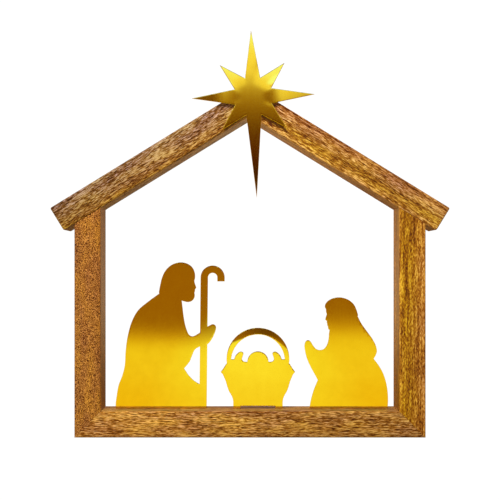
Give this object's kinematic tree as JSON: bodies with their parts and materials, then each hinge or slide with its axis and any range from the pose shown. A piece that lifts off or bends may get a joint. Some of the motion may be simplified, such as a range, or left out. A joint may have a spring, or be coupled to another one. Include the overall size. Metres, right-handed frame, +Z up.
{
  "type": "nativity scene",
  "caption": "Freestanding house-shaped frame of square-cut wood with kneeling figures and a cradle cut from brass sheet on its bottom rail, and a pointed brass star at the ridge.",
  "frame": {"origin": "middle of the bottom rail's underside", "axes": "+X to the right seen from the front, -Y to the front, where the star is, +Z up"},
  "size_m": [0.3024, 0.0415, 0.3082],
  "materials": {
    "mango_wood": "oiled and sanded, satin",
    "beech": "plain, matt",
    "brass_sheet": "fine-brushed and lacquered, near mirror"
  },
  "bodies": {
    "root": {"bottom_rail": "mango_wood", "left_post": "mango_wood", "right_post": "mango_wood", "left_rafter": "mango_wood", "right_rafter": "mango_wood", "left_corner_front_dowel": "beech", "left_corner_back_dowel": "beech", "right_corner_front_dowel": "beech", "right_corner_back_dowel": "beech", "left_eave_front_dowel": "beech", "left_eave_back_dowel": "beech", "right_eave_front_dowel": "beech", "right_eave_back_dowel": "beech", "ridge_front_dowel": "beech", "ridge_back_dowel": "beech", "kneeling_man": "brass_sheet", "cradle": "brass_sheet", "kneeling_woman": "brass_sheet", "star": "brass_sheet", "star_stud": "brass_sheet", "star_spacer": "brass_sheet"}
  },
  "joints": []
}
